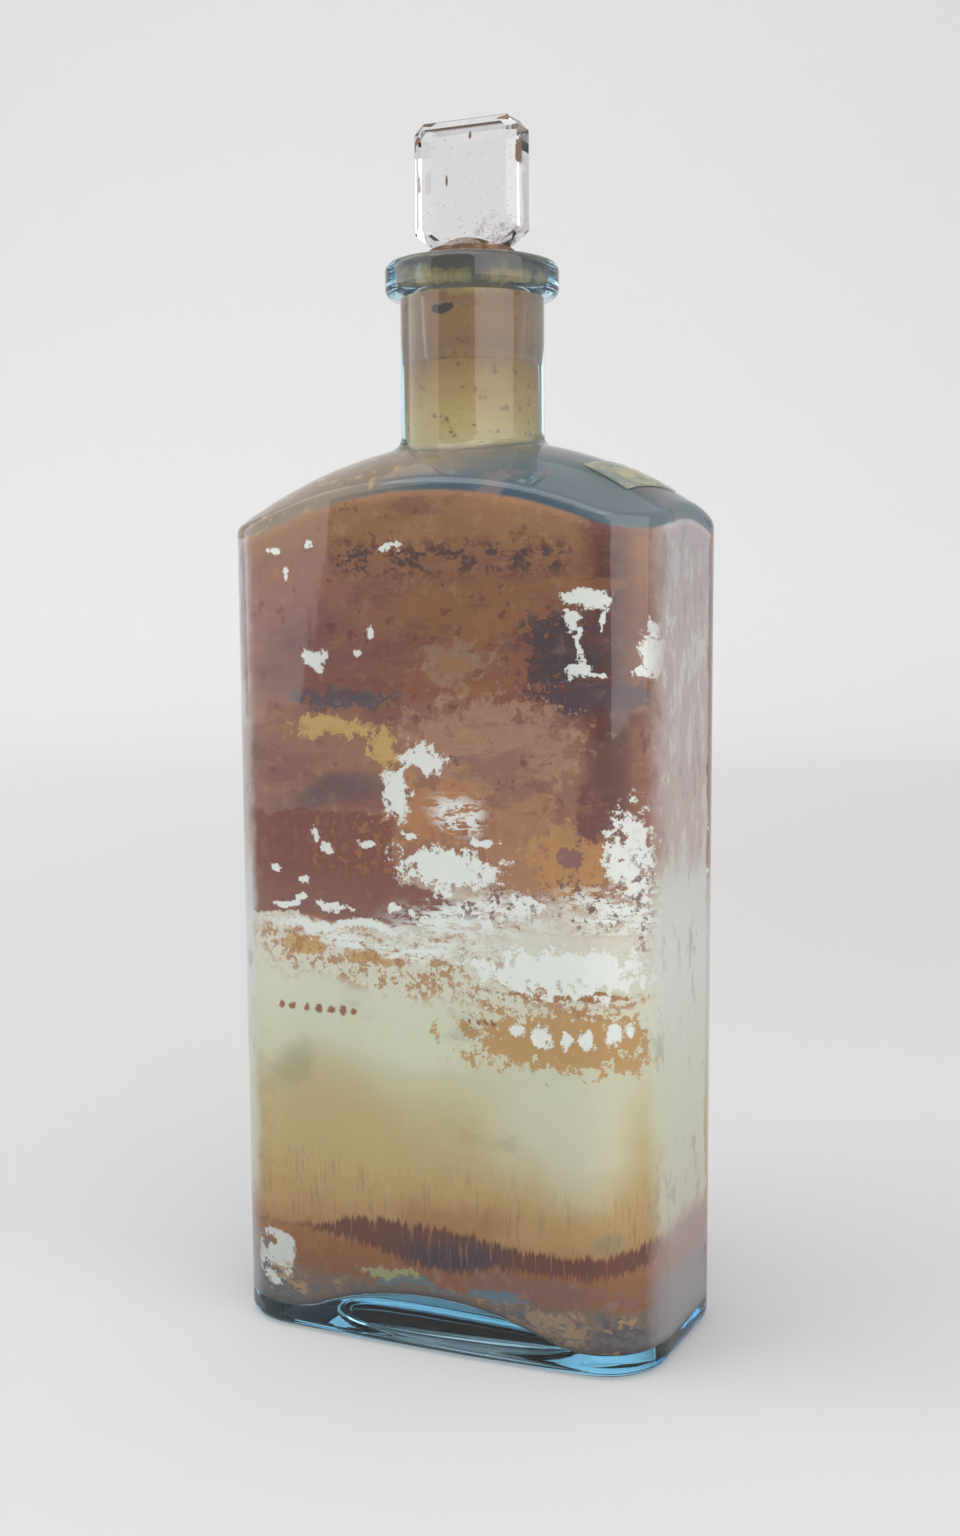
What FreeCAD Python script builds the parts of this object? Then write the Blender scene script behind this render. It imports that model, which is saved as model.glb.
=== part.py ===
"""A flat ground-stoppered reagent bottle of thick blown glass, with the silvery stain left dried inside it.

Frame: millimetres, +Z up, the origin at the middle of the base on the plane the bottle stands on.
+X runs along the wide face and -Y points out of the front face.  The neck and stopper share the Z axis.
"""

import FreeCAD, Part
import math
import os

import Sketcher
from FreeCAD import Placement, Rotation, Vector

PARTS_FOLDER = "parts"

# Driving sizes, in millimetres and degrees.
SIZES = [
    # body
    ("body_width", 88.5),  # across the foot, side to side
    ("body_depth", 48.7),  # across the foot, front to back
    ("corner_radius", 12.7),  # of the upright corners, at the foot
    ("face_radius", 700.0),  # the slight outward bow of the front and back faces
    ("mould_draft", 0.28),  # degrees: the body widens upwards
    ("wall", 3.2),
    ("heel_radius", 2.5),
    # shoulder
    ("ridge_height", 174.7),  # top of the shoulder, on the axis
    ("front_fall", 8.7),  # how much lower the shoulder meets the front face
    ("ridge_radius", 79.7),  # of the shoulder's arch side to side, along the ridge
    ("front_radius", 89.0),  # of the same arch past the front and back faces
    ("crown_edge_radius", 2.4),
    ("crown_wall", 4.0),  # measured upright, through the ridge
    # base
    ("floor_height", 3.4),  # of the cavity at its lowest, near the sides
    ("floor_rise", 6.1),  # how far the floor is pushed up in the middle
    ("floor_radius", 62.8),  # of the pushed-up floor, an arch from side to side
    ("floor_blend", 14.0),  # rounding where the arch runs out into the flat
    ("cavity_corner", 2.6),  # rounding where walls and floor meet inside
    ("base_wall", 4.7),  # glass left over the hollow under the base
    ("punt_margin", 0.5),  # that hollow ends this far short of the arch's feet, side to side
    ("foot_ring", 9.4),  # and this far short of the front and back faces
    # neck
    ("neck_height", 33.7),  # from the ridge to the mouth
    ("neck_wall", 4.1),  # at the mouth
    ("neck_root_radius", 2.8),
    ("lip_overhang", 2.9),
    ("lip_height", 6.8),
    ("lip_slope", 0.6),  # the underside of the lip rises by this to its rim
    ("lip_round", 1.6),
    # ground joint
    ("joint_radius", 9.9),  # at the mouth
    ("joint_taper", 0.1),  # change of diameter for each millimetre of length
    ("joint_length", 18.8),
    ("throat_step", 0.16),  # the bore under the joint is narrower by this
    ("throat_round", 3.0),  # where the bore opens into the shoulder
    ("mouth_chamfer", 0.5),
    ("joint_clearance", 0.04),
    # stopper
    ("shank_length", 17.8),
    ("shank_chamfer", 0.6),
    ("collar_height", 2.6),  # of the round collar, between the mouth and the head
    ("collar_step", 1.0),  # the collar's foot is this far inside the mouth's edge
    ("collar_fall", 0.9),  # and its top this far inside its foot
    ("collar_run", 1.8),  # how far the collar's top slopes up into the head
    ("head_width", 21.6),
    ("head_depth", 9.0),
    ("head_height", 24.3),
    ("head_bevel", 1.6),
    ("head_corner", 2.0),  # the slanting cut at each upper corner
    ("head_undercut", 4.4),  # the slanting cut at each lower corner, along the foot
    ("undercut_height", 3.4),  # and up the side
    # deposits and the scrap of label
    ("film_thickness", 0.3),
    ("film_gap", 0.06),
    ("base_film_margin", 4.5),  # how far the base's film runs up the walls past the floor's crown
    ("crust_thickness", 0.25),
    ("crust_height", 2.2),
    ("scrap_thickness", 0.2),
    ("scrap_gap", 0.12),
    ("scrap_width", 9.8),
    ("scrap_length", 16.0),
    ("scrap_offset", 27.5),  # its near corner, from the axis towards +X
    ("scrap_shift", 11.5),  # and from the ridge towards the front
    ("scrap_turn", -14.7),  # degrees
]

OVERRUN = 4.0  # cutters run this far past the sides of what they cut
HEADROOM = 30.0  # and this far over its top

# Sizes worked out from those above, as expressions.
MOUTH = "(dims.ridge_height + dims.neck_height)"
NECK_RADIUS = "(dims.joint_radius + dims.neck_wall)"
LIP_RADIUS = f"({NECK_RADIUS} + dims.lip_overhang)"
LIP_UNDER = f"({MOUTH} - dims.lip_height)"
JOINT_FOOT = f"({MOUTH} - dims.joint_length)"
JOINT_NARROW = "(dims.joint_radius - dims.joint_length * dims.joint_taper / 2)"
THROAT_RADIUS = f"({JOINT_NARROW} - dims.throat_step)"
COLLAR_FOOT_RADIUS = "(dims.joint_radius - dims.collar_step)"
COLLAR_TOP_RADIUS = f"({COLLAR_FOOT_RADIUS} - dims.collar_fall)"
HEAD_FOOT = f"({MOUTH} + dims.collar_height)"
FLOOR_CROWN = "(dims.floor_height + dims.floor_rise)"
FLOOR_CENTRE = f"({FLOOR_CROWN} - dims.floor_radius)"
ARCH_FOOT = "sqrt(dims.floor_radius ^ 2 - (dims.floor_radius - dims.floor_rise) ^ 2)"

doc = FreeCAD.newDocument("reagent_bottle")
sheet = doc.addObject("Spreadsheet::Sheet", "dims")
for row, (alias, value) in enumerate(SIZES, start=1):
    sheet.set(f"A{row}", alias)
    sheet.set(f"B{row}", str(value))
    sheet.setAlias(f"B{row}", alias)
doc.recompute()


# ---------------------------------------------------------------- helpers


def evaluate(expression):
    """The present value of an expression over the sheet's sizes."""
    value = sheet.evalExpression(expression)
    return float(getattr(value, "Value", value))


def plane(body, role):
    return next(f for f in body.Origin.OriginFeatures if f.Role == role)


def new_sketch(body, name, role):
    """An empty sketch on one of the body's own origin planes."""
    sketch = body.newObject("Sketcher::SketchObject", name)
    sketch.AttachmentSupport = [(plane(body, role), "")]
    sketch.MapMode = "FlatFace"
    return sketch


def bind(sketch, kind, elements, name, expression):
    """Adds a dimension of that kind to a sketch and ties it to an expression."""
    value = evaluate(expression)
    index = sketch.addConstraint(Sketcher.Constraint(kind, *elements, value))
    sketch.renameConstraint(index, name)
    sketch.setExpression(f"Constraints.{name}", expression)


def bind_point(sketch, element, end, name, x, z):
    """Places a point by expressions; a coordinate given as None lies on that axis."""
    if x is None:
        sketch.addConstraint(Sketcher.Constraint("PointOnObject", element, end, -2))
    else:
        bind(sketch, "DistanceX", (-1, 1, element, end), f"{name}_x", x)
    if z is None:
        sketch.addConstraint(Sketcher.Constraint("PointOnObject", element, end, -1))
    else:
        bind(sketch, "DistanceY", (-1, 1, element, end), f"{name}_z", z)


def polygon(sketch, corners):
    """A closed outline of straight lines through (name, x expression, z expression) corners."""
    count = len(corners)
    spots = [Vector(evaluate(x or "0"), evaluate(z or "0"), 0) for _, x, z in corners]
    for i in range(count):
        sketch.addGeometry(Part.LineSegment(spots[i], spots[(i + 1) % count]), False)
    for i in range(count):
        sketch.addConstraint(Sketcher.Constraint("Coincident", i, 2, (i + 1) % count, 1))
    for i, (name, x, z) in enumerate(corners):
        bind_point(sketch, i, 1, name, x, z)


def revolve(body, name, corners):
    """Turns an outline in the XZ plane about the Z axis, and adds it to the body."""
    sketch = new_sketch(body, f"{name}_outline", "XZ_Plane")
    polygon(sketch, corners)
    turned = body.newObject("PartDesign::Revolution", name)
    turned.Profile = sketch
    turned.ReferenceAxis = (sketch, ["V_Axis"])
    turned.Angle = 360.0
    doc.recompute()
    return turned


def middle(edge):
    return edge.valueAt((edge.FirstParameter + edge.LastParameter) / 2)


def dress(body, kind, name, test, amount):
    """A Fillet or Chamfer over those edges of the body's tip that pass the test."""
    doc.recompute()
    base = body.Tip
    chosen = [f"Edge{i}" for i, edge in enumerate(base.Shape.Edges, start=1) if test(edge)]
    feature = body.newObject(f"PartDesign::{kind}", name)
    feature.Base = (base, chosen)
    feature.setExpression("Radius" if kind == "Fillet" else "Size", amount)
    body.Tip = feature
    doc.recompute()
    return feature


def ring_at(radius, height):
    """A test for the round edge about the Z axis with that radius, at that height."""

    def test(edge):
        spot = middle(edge)
        return abs(math.hypot(spot.x, spot.y) - radius) < 0.01 and abs(spot.z - height) < 0.01

    return test


def at_height(height):
    """A test for edges that lie flat at that height."""
    return lambda edge: all(abs(z - height) < 0.01 for z in (edge.BoundBox.ZMin, edge.BoundBox.ZMax))


def combine(kind, label, base, tool):
    """A Part boolean of two objects, labelled."""
    result = doc.addObject(f"Part::{kind}", label)
    result.Base = base
    result.Tool = tool
    result.Label = label
    base.Visibility = False
    tool.Visibility = False
    return result


def block(name, length, width, height, corner, turn="0"):
    """A box whose sizes and corner are expressions, turned about the Z axis."""
    box = doc.addObject("Part::Box", name)
    for prop, expression in zip(("Length", "Width", "Height"), (length, width, height)):
        box.setExpression(prop, expression)
    for axis, expression in zip("xyz", corner):
        box.setExpression(f"Placement.Base.{axis}", expression)
    box.Placement.Rotation = Rotation(Vector(0, 0, 1), evaluate(turn))
    box.setExpression("Placement.Rotation.Angle", turn)
    return box


# ---------------------------------------------------------------- the bottle's form


def draw_plan(body, inset):
    """The body's plan at the foot: bowed faces, straight sides and round corners, moved in by inset."""
    sketch = new_sketch(body, f"{body.Name}_plan", "XY_Plane")
    half_width = evaluate(f"dims.body_width / 2 - ({inset})")
    corner = evaluate(f"dims.corner_radius - ({inset})")
    face = evaluate(f"dims.face_radius - ({inset})")
    face_centre = evaluate("dims.face_radius - dims.body_depth / 2")
    corner_x = evaluate("dims.body_width / 2 - dims.corner_radius")
    reach = evaluate("dims.face_radius - dims.corner_radius")
    corner_y = math.sqrt(reach**2 - corner_x**2) - face_centre
    lean = math.asin(corner_x / reach)
    right = math.pi / 2

    def arc(x, y, radius, start, end):
        circle = Part.Circle(Vector(x, y, 0), Vector(0, 0, 1), radius)
        sketch.addGeometry(Part.ArcOfCircle(circle, start, end), False)

    def side(x, y_from, y_to):
        sketch.addGeometry(Part.LineSegment(Vector(x, y_from, 0), Vector(x, y_to, 0)), False)

    # Counter-clockwise from the front: face, corner, side, corner, face, corner, side, corner.
    arc(0, face_centre, face, 3 * right - lean, 3 * right + lean)
    arc(corner_x, -corner_y, corner, 3 * right + lean, 4 * right)
    side(half_width, -corner_y, corner_y)
    arc(corner_x, corner_y, corner, 0, right - lean)
    arc(0, -face_centre, face, right - lean, right + lean)
    arc(-corner_x, corner_y, corner, right + lean, 2 * right)
    side(-half_width, corner_y, -corner_y)
    arc(-corner_x, -corner_y, corner, 2 * right, 3 * right - lean)
    for i in range(8):
        sketch.addConstraint(Sketcher.Constraint("Tangent", i, 2, (i + 1) % 8, 1))
    for i in (0, 4):
        sketch.addConstraint(Sketcher.Constraint("PointOnObject", i, 3, -2))
    for i in (3, 5, 7):
        sketch.addConstraint(Sketcher.Constraint("Equal", 1, i))
    sketch.addConstraint(Sketcher.Constraint("Equal", 0, 4))
    sketch.addConstraint(Sketcher.Constraint("Vertical", 2))
    sketch.addConstraint(Sketcher.Constraint("Vertical", 6))
    bind(sketch, "Radius", (0,), "face", f"dims.face_radius - ({inset})")
    bind(sketch, "Radius", (1,), "corner", f"dims.corner_radius - ({inset})")
    bind(sketch, "DistanceY", (-1, 1, 0, 3), "front_centre", "dims.face_radius - dims.body_depth / 2")
    bind(sketch, "DistanceY", (4, 3, -1, 1), "back_centre", "dims.face_radius - dims.body_depth / 2")
    bind(sketch, "DistanceX", (-1, 1, 2, 1), "right_side", f"dims.body_width / 2 - ({inset})")
    bind(sketch, "DistanceX", (6, 1, -1, 1), "left_side", f"dims.body_width / 2 - ({inset})")
    return sketch


def draw_arch(body, name, place, peak, radius):
    """One section of the cutter that shapes the shoulder: all that lies over an arch, at one place on Y."""
    sketch = new_sketch(body, name, "XZ_Plane")
    # The XZ plane's own normal points to -Y, so the offset along it has the other sign.
    sketch.setExpression("AttachmentOffset.Base.z", f"-({place})")
    half_width = f"dims.body_width / 2 + {OVERRUN}"
    top = f"dims.ridge_height + {HEADROOM}"
    arch = evaluate(radius)
    centre = evaluate(peak) - arch
    half = evaluate(half_width)
    lean = math.asin(half / arch)
    spring = centre + arch * math.cos(lean)
    circle = Part.Circle(Vector(0, centre, 0), Vector(0, 0, 1), arch)
    sketch.addGeometry(Part.ArcOfCircle(circle, math.pi / 2 - lean, math.pi / 2 + lean), False)
    corners = [(-half, spring), (-half, evaluate(top)), (half, evaluate(top)), (half, spring)]
    for a, b in zip(corners, corners[1:]):
        sketch.addGeometry(Part.LineSegment(Vector(*a, 0), Vector(*b, 0)), False)
    for i in range(4):
        sketch.addConstraint(Sketcher.Constraint("Coincident", i, 2, (i + 1) % 4, 1))
    sketch.addConstraint(Sketcher.Constraint("PointOnObject", 0, 3, -2))
    sketch.addConstraint(Sketcher.Constraint("Vertical", 1))
    sketch.addConstraint(Sketcher.Constraint("Horizontal", 2))
    sketch.addConstraint(Sketcher.Constraint("Vertical", 3))
    bind(sketch, "Radius", (0,), "arch", radius)
    bind(sketch, "DistanceY", (-1, 1, 0, 3), "centre", f"{peak} - ({radius})")
    bind(sketch, "DistanceX", (-1, 1, 3, 1), "right", half_width)
    bind(sketch, "DistanceX", (1, 1, -1, 1), "left", half_width)
    bind(sketch, "DistanceY", (-1, 1, 2, 1), "top", top)
    return sketch


def cut_crown(body, name, drop):
    """Shapes the shoulder: arched from side to side, and falling away to the front and back."""
    reach = f"(dims.body_depth / 2 + {OVERRUN})"
    fall = f"dims.front_fall * ({reach} / (dims.body_depth / 2)) ^ 2"
    ridge = f"dims.ridge_height - ({drop})"
    over_ridge = f"dims.ridge_radius - ({drop})"
    past_face = f"dims.front_radius - ({drop})"
    front = draw_arch(body, f"{name}_front", f"-{reach}", f"{ridge} - {fall}", past_face)
    centre = draw_arch(body, f"{name}_ridge", "0", ridge, over_ridge)
    back = draw_arch(body, f"{name}_back", reach, f"{ridge} - {fall}", past_face)
    crown = body.newObject("PartDesign::SubtractiveLoft", name)
    crown.Profile = front
    crown.Sections = [centre, back]
    body.Tip = crown
    doc.recompute()


def make_form(name, inset, drop, edge_radius):
    """The body and shoulder as one solid block, its walls moved in by inset and its top down by drop."""
    body = doc.addObject("PartDesign::Body", name)
    plan = draw_plan(body, inset)
    pad = body.newObject("PartDesign::Pad", f"{name}_block")
    pad.Profile = plan
    pad.setExpression("Length", f"dims.ridge_height + {HEADROOM / 2}")
    pad.setExpression("TaperAngle", "dims.mould_draft")
    doc.recompute()
    cut_crown(body, f"{name}_crown", drop)
    half_height = evaluate("dims.ridge_height / 2")
    dress(
        body,
        "Fillet",
        f"{name}_crown_edge",
        lambda edge: all(v.Z > half_height for v in edge.Vertexes),
        edge_radius,
    )
    return body


def make_envelope():
    """The outside of the glass, solid: body, shoulder, neck, lip, heel and the hollow under the base."""
    body = make_form("envelope", "0", "0", "dims.crown_edge_radius")
    dress(body, "Fillet", "heel", at_height(0), "dims.heel_radius")
    revolve(
        body,
        "neck",
        [
            ("root_axis", None, "dims.ridge_height / 2"),
            ("root", NECK_RADIUS, "dims.ridge_height / 2"),
            ("under_lip", NECK_RADIUS, LIP_UNDER),
            ("lip_low", LIP_RADIUS, f"{LIP_UNDER} + dims.lip_slope"),
            ("lip_top", LIP_RADIUS, MOUTH),
            ("mouth_axis", None, MOUTH),
        ],
    )
    neck = evaluate(NECK_RADIUS)
    half_height = evaluate("dims.ridge_height / 2")
    under = evaluate(LIP_UNDER)

    def neck_root(edge):
        spot = middle(edge)
        on_neck = abs(math.hypot(spot.x, spot.y) - neck) < 0.01
        across = edge.BoundBox.ZLength < evaluate("dims.front_fall")
        return on_neck and across and half_height < spot.z < under - 1

    dress(body, "Fillet", "neck_root", neck_root, "dims.neck_root_radius")
    lip = evaluate(LIP_RADIUS)
    mouth = evaluate(MOUTH)
    low = evaluate(f"{LIP_UNDER} + dims.lip_slope")

    def lip_rim(edge):
        return ring_at(lip, mouth)(edge) or ring_at(lip, low)(edge)

    dress(body, "Fillet", "lip_rim", lip_rim, "dims.lip_round")
    punt = body.newObject("PartDesign::SubtractiveEllipsoid", "punt")
    punt.setExpression("Radius1", f"{FLOOR_CROWN} - dims.base_wall")
    punt.setExpression("Radius2", f"{ARCH_FOOT} - dims.punt_margin")
    punt.setExpression("Radius3", "dims.body_depth / 2 - dims.foot_ring")
    body.Tip = punt
    doc.recompute()
    return body


def draw_floor(body, name, lift):
    """What lies under the cavity's floor, drawn in the XZ plane: an arch between two flats."""
    sketch = new_sketch(body, name, "XZ_Plane")
    half_width = f"dims.body_width / 2 + {OVERRUN}"
    radius = f"dims.floor_radius + {lift}"
    flat = f"dims.floor_height + {lift}"
    arch, middle_z, level = evaluate(radius), evaluate(FLOOR_CENTRE), evaluate(flat)
    half = evaluate(half_width)
    foot = math.sqrt(arch**2 - (level - middle_z) ** 2)
    lean = math.asin(foot / arch)
    circle = Part.Circle(Vector(0, middle_z, 0), Vector(0, 0, 1), arch)
    sketch.addGeometry(Part.ArcOfCircle(circle, math.pi / 2 - lean, math.pi / 2 + lean), False)
    corners = [
        (-foot, level),
        (-half, level),
        (-half, -OVERRUN),
        (half, -OVERRUN),
        (half, level),
        (foot, level),
    ]
    for a, b in zip(corners, corners[1:]):
        sketch.addGeometry(Part.LineSegment(Vector(*a, 0), Vector(*b, 0)), False)
    for i in range(6):
        sketch.addConstraint(Sketcher.Constraint("Coincident", i, 2, (i + 1) % 6, 1))
    for i in (1, 3, 5):
        sketch.addConstraint(Sketcher.Constraint("Horizontal", i))
    for i in (2, 4):
        sketch.addConstraint(Sketcher.Constraint("Vertical", i))
    sketch.addConstraint(Sketcher.Constraint("PointOnObject", 0, 3, -2))
    bind(sketch, "Radius", (0,), "arch", radius)
    bind(sketch, "DistanceY", (0, 3, -1, 1), "centre", f"-{FLOOR_CENTRE}")
    bind(sketch, "DistanceY", (-1, 1, 1, 1), "left_flat", flat)
    bind(sketch, "DistanceY", (-1, 1, 4, 2), "right_flat", flat)
    bind(sketch, "DistanceX", (2, 1, -1, 1), "left", half_width)
    bind(sketch, "DistanceX", (-1, 1, 4, 1), "right", half_width)
    bind(sketch, "DistanceY", (3, 1, -1, 1), "under", str(OVERRUN))
    return sketch


def make_cavity(name, lift):
    """The space inside the glass, solid, from floor to mouth; lift draws all of it in, for the film."""
    inset = f"dims.wall + {lift}"
    drop = f"dims.crown_wall + {lift}"
    body = make_form(name, inset, drop, f"dims.crown_edge_radius - {lift}")
    under = draw_floor(body, f"{name}_under", lift)
    floor = body.newObject("PartDesign::Pocket", f"{name}_floor")
    floor.Profile = under
    floor.Type = "ThroughAll"
    floor.Midplane = True
    body.Tip = floor
    level = evaluate(f"dims.floor_height + {lift}")
    drop_to_centre = level - evaluate(FLOOR_CENTRE)
    foot = math.sqrt(evaluate(f"dims.floor_radius + {lift}") ** 2 - drop_to_centre**2)

    def arch_foot(edge):
        spot = middle(edge)
        return abs(abs(spot.x) - foot) < 0.01 and abs(spot.z - level) < 0.01

    dress(body, "Fillet", f"{name}_floor_blend", arch_foot, f"dims.floor_blend - {lift}")
    over_floor = evaluate(FLOOR_CROWN) + 1
    side_x = evaluate("dims.body_width / 2 - dims.corner_radius")

    def floor_rim(edge):
        spot = middle(edge)
        across_floor = abs(spot.y) < 1 and abs(spot.x) < side_x
        return spot.z < over_floor and not across_floor

    rim = f"dims.cavity_corner - {lift}"
    dress(body, "Fillet", f"{name}_floor_rim", floor_rim, rim)
    flare = f"dims.joint_radius + dims.mouth_chamfer - {lift}"
    root = "dims.ridge_height - dims.crown_wall - 4 * dims.throat_round"
    revolve(
        body,
        f"{name}_bore",
        [
            ("root_axis", None, root),
            ("root", f"{THROAT_RADIUS} - {lift}", root),
            ("throat", f"{THROAT_RADIUS} - {lift}", f"{JOINT_FOOT} - dims.mouth_chamfer"),
            ("joint_low", f"{JOINT_NARROW} - {lift}", JOINT_FOOT),
            ("joint_high", f"dims.joint_radius - {lift}", f"{MOUTH} - dims.mouth_chamfer"),
            ("mouth", flare, MOUTH),
            ("past_mouth", flare, f"{MOUTH} + {OVERRUN}"),
            ("past_axis", None, f"{MOUTH} + {OVERRUN}"),
        ],
    )
    throat = evaluate(f"{THROAT_RADIUS} - {lift}")
    root_z = evaluate(root)
    joint_z = evaluate(f"{JOINT_FOOT} - dims.mouth_chamfer")

    def throat_edge(edge):
        spot = middle(edge)
        on_bore = abs(math.hypot(spot.x, spot.y) - throat) < 0.01
        across = edge.BoundBox.ZLength < evaluate("dims.front_fall")
        return on_bore and across and root_z < spot.z < joint_z - 1

    dress(body, "Fillet", f"{name}_throat", throat_edge, f"dims.throat_round + {lift}")
    return body


# ---------------------------------------------------------------- the pieces


def make_bottle(cavity):
    """The glass: its outside less the cavity."""
    bottle = combine("Cut", "bottle", make_envelope(), cavity)
    return bottle


def make_stopper():
    """One piece of glass: a bevelled slab to hold, a round collar, and a shank ground to the neck's taper."""
    body = doc.addObject("PartDesign::Body", "stopper")
    body.Label = "stopper"
    top = f"{HEAD_FOOT} + dims.head_height"
    half = "dims.head_width / 2"
    sketch = new_sketch(body, "head_outline", "XZ_Plane")
    polygon(
        sketch,
        [
            ("low_left", f"-({half} - dims.head_undercut)", HEAD_FOOT),
            ("low_right", f"{half} - dims.head_undercut", HEAD_FOOT),
            ("side_low_right", half, f"{HEAD_FOOT} + dims.undercut_height"),
            ("side_high_right", half, f"{top} - dims.head_corner"),
            ("top_right", f"{half} - dims.head_corner", top),
            ("top_left", f"-({half} - dims.head_corner)", top),
            ("side_high_left", f"-({half})", f"{top} - dims.head_corner"),
            ("side_low_left", f"-({half})", f"{HEAD_FOOT} + dims.undercut_height"),
        ],
    )
    head = body.newObject("PartDesign::Pad", "head")
    head.Profile = sketch
    head.Midplane = True
    head.setExpression("Length", "dims.head_depth")
    doc.recompute()
    half_depth = evaluate("dims.head_depth / 2")

    def face_rim(edge):
        return edge.BoundBox.YLength < 0.01 and abs(abs(middle(edge).y) - half_depth) < 0.01

    dress(body, "Chamfer", "head_bevels", face_rim, "dims.head_bevel")
    shank_foot = f"{MOUTH} - dims.shank_length"
    narrowing = "dims.joint_taper / 2"
    at_mouth = "dims.joint_radius - dims.joint_clearance"
    at_foot = f"{at_mouth} - dims.shank_length * {narrowing}"
    over_chamfer = f"{at_foot} + dims.shank_chamfer * {narrowing}"
    below_mouth = f"{MOUTH} - dims.mouth_chamfer"
    revolve(
        body,
        "shank",
        [
            ("foot_axis", None, shank_foot),
            ("foot", f"{at_foot} - dims.shank_chamfer", shank_foot),
            ("foot_rim", over_chamfer, f"{shank_foot} + dims.shank_chamfer"),
            ("ground_top", f"{at_mouth} - dims.mouth_chamfer * {narrowing}", below_mouth),
            ("collar_foot", COLLAR_FOOT_RADIUS, MOUTH),
            ("collar_top", COLLAR_TOP_RADIUS, HEAD_FOOT),
            ("run_out", "dims.head_depth / 2", f"{HEAD_FOOT} + dims.collar_run"),
            ("head_axis", None, f"{HEAD_FOOT} + dims.collar_run"),
        ],
    )
    return body


def make_lining():
    """The dried film as one skin over the inside of the glass, up to the stopper's foot."""
    near = make_cavity("film_outer", "dims.film_gap")
    far = make_cavity("film_inner", "(dims.film_gap + dims.film_thickness)")
    return combine("Cut", "lining", near, far)


def slab(name, low, high):
    """A box over the whole plan between two heights."""
    width = f"dims.body_width + {2 * OVERRUN}"
    depth = f"dims.body_depth + {2 * OVERRUN}"
    return block(name, width, depth, f"{high} - ({low})", (f"-({width}) / 2", f"-({depth}) / 2", low))


def make_films(lining):
    """The lining, parted where its look changes: base, walls and shoulder, and neck."""
    throat = "dims.ridge_height - dims.crown_wall"
    neck_end = f"{JOINT_FOOT} - 2 * dims.mouth_chamfer"
    levels = ["0", f"{FLOOR_CROWN} + dims.base_film_margin", throat, neck_end]
    names = ["base_film", "wall_film", "neck_film"]
    return [
        combine("Common", name, lining, slab(f"{name}_reach", low, high))
        for name, low, high in zip(names, levels, levels[1:])
    ]


def make_crust():
    """Brown residue round the stopper's collar, where it dried above the mouth."""
    body = doc.addObject("PartDesign::Body", "stopper_crust")
    body.Label = "stopper_crust"
    slope = "dims.collar_fall / dims.collar_height"
    margin = "(dims.collar_height - dims.crust_height) / 2"
    low = f"{MOUTH} + {margin}"
    high = f"{HEAD_FOOT} - {margin}"
    at_low = f"{COLLAR_FOOT_RADIUS} - {slope} * {margin} + dims.film_gap"
    at_high = f"{COLLAR_TOP_RADIUS} + {slope} * {margin} + dims.film_gap"
    revolve(
        body,
        "crust",
        [
            ("low_in", at_low, low),
            ("low_out", f"{at_low} + dims.crust_thickness", low),
            ("high_out", f"{at_high} + dims.crust_thickness", high),
            ("high_in", at_high, high),
        ],
    )
    return body


def make_scrap():
    """What is left of a gummed label, curved over the shoulder."""
    over = "(dims.scrap_gap + dims.scrap_thickness)"
    under = "dims.scrap_gap"
    outer = make_form("scrap_outer", f"-{over}", f"-{over}", "dims.crown_edge_radius")
    inner = make_form("scrap_inner", f"-{under}", f"-{under}", "dims.crown_edge_radius")
    skin = combine("Cut", "scrap_skin", outer, inner)
    patch = block(
        "scrap_patch",
        "dims.scrap_width",
        "dims.scrap_length",
        "dims.front_fall * 3",
        ("dims.scrap_offset", "-dims.scrap_shift", "dims.ridge_height - dims.front_fall * 3"),
        "dims.scrap_turn",
    )
    return combine("Common", "label_scrap", skin, patch)


# ---------------------------------------------------------------- build and export


def check(obj):
    if {"Invalid", "Error"} & set(obj.State):
        raise RuntimeError(f"{obj.Label}: {obj.State}")
    if hasattr(obj, "Shape") and (obj.Shape.isNull() or not obj.Shape.isValid()):
        raise RuntimeError(f"{obj.Label}: bad shape")


pieces = [
    make_bottle(make_cavity("cavity", "0")),
    make_stopper(),
    *make_films(make_lining()),
    make_crust(),
    make_scrap(),
]
doc.recompute()
for obj in doc.Objects:
    if not obj.isDerivedFrom("App::OriginFeature") and not obj.isDerivedFrom("App::Origin"):
        check(obj)
os.makedirs(PARTS_FOLDER, exist_ok=True)
for piece in pieces:
    piece.Shape.exportStep(os.path.join(PARTS_FOLDER, f"{piece.Label}.step"))
    print(piece.Label, len(piece.Shape.Solids), round(piece.Shape.Volume, 1))
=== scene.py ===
"""Looks of the stoppered reagent bottle: clear blue-tinted glass round a dried, tarnished silver film.

Everything is in metres in the row frame.  Inside materials, places are in millimetres of the same frame:
u runs along the film from the middle of the front and round the corners, with the back on a stretch of
its own further along, and z is the height.
"""

import math

import bmesh
import bpy
from mathutils import Matrix, Vector


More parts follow.
